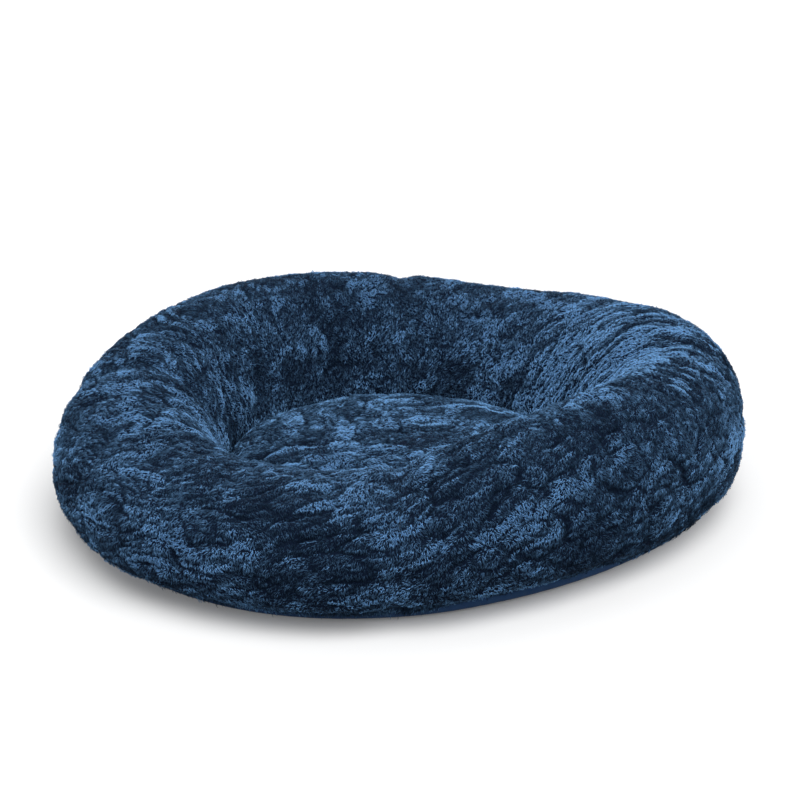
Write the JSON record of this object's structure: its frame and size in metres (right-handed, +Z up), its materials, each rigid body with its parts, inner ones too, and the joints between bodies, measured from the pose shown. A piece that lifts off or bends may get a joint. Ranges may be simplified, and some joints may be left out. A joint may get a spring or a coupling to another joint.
{
  "type": "pet bed",
  "caption": "Round plush bolster bed for a large dog, with a stuffed ring, a padded base, a loose centre cushion and a zip in the base.",
  "frame": {"origin": "middle of the footprint's box, on the floor", "axes": "+Z up; +X to the right along the bed's width; +Y to the back, away from the side that the picture shows"},
  "size_m": [1.0866, 1.062, 0.2487],
  "materials": {
    "plush": "short crushed faux fur, navy blue, matt with a soft sheen on the pile tips",
    "base_cloth": "smooth woven polyester, dark navy, matt",
    "liner_cloth": "thin non-woven liner, off-white, matt",
    "fibre": "polyester fibre filling, white, matt",
    "zip_tape": "herringbone woven tape, dark navy",
    "zip_teeth": "nylon coil, dark navy, satin",
    "zip_metal": "plated zinc, satin grey"
  },
  "bodies": {
    "bed": {"ring_cover_back_right": "plush", "ring_cover_back_left": "plush", "ring_cover_front_left": "plush", "ring_cover_front_right": "plush", "ring_liner": "liner_cloth", "ring_fill": "fibre", "base_panel": "base_cloth", "zip_tape_front": "zip_tape", "zip_tape_back": "zip_tape", "zip_teeth_front": "zip_teeth", "zip_teeth_back": "zip_teeth", "zip_stop_closed_end": "zip_metal", "zip_stop_open_end": "zip_metal"},
    "cushion": {"cushion_top_cover": "plush", "cushion_bottom_cover": "base_cloth", "cushion_fill": "fibre"},
    "zip_slider": {"zip_slider": "zip_metal"},
    "zip_pull_tab": {"zip_pull_tab": "zip_metal"}
  },
  "joints": [
    {"name": "cushion_lift", "type": "slide", "parent": "bed", "child": "cushion", "axis": [0, 0, 1], "range_m": [0, 0.3]},
    {"name": "zip_slide", "type": "slide", "parent": "bed", "child": "zip_slider", "axis": [1, 0, 0], "range_m": [0, 0.455]},
    {"name": "pull_tab_swing", "type": "hinge", "parent": "zip_slider", "child": "zip_pull_tab", "pos_m": [-0.24972, 0.00789, 0.00272], "axis": [0, 1, 0], "range_deg": [0, 155]}
  ]
}
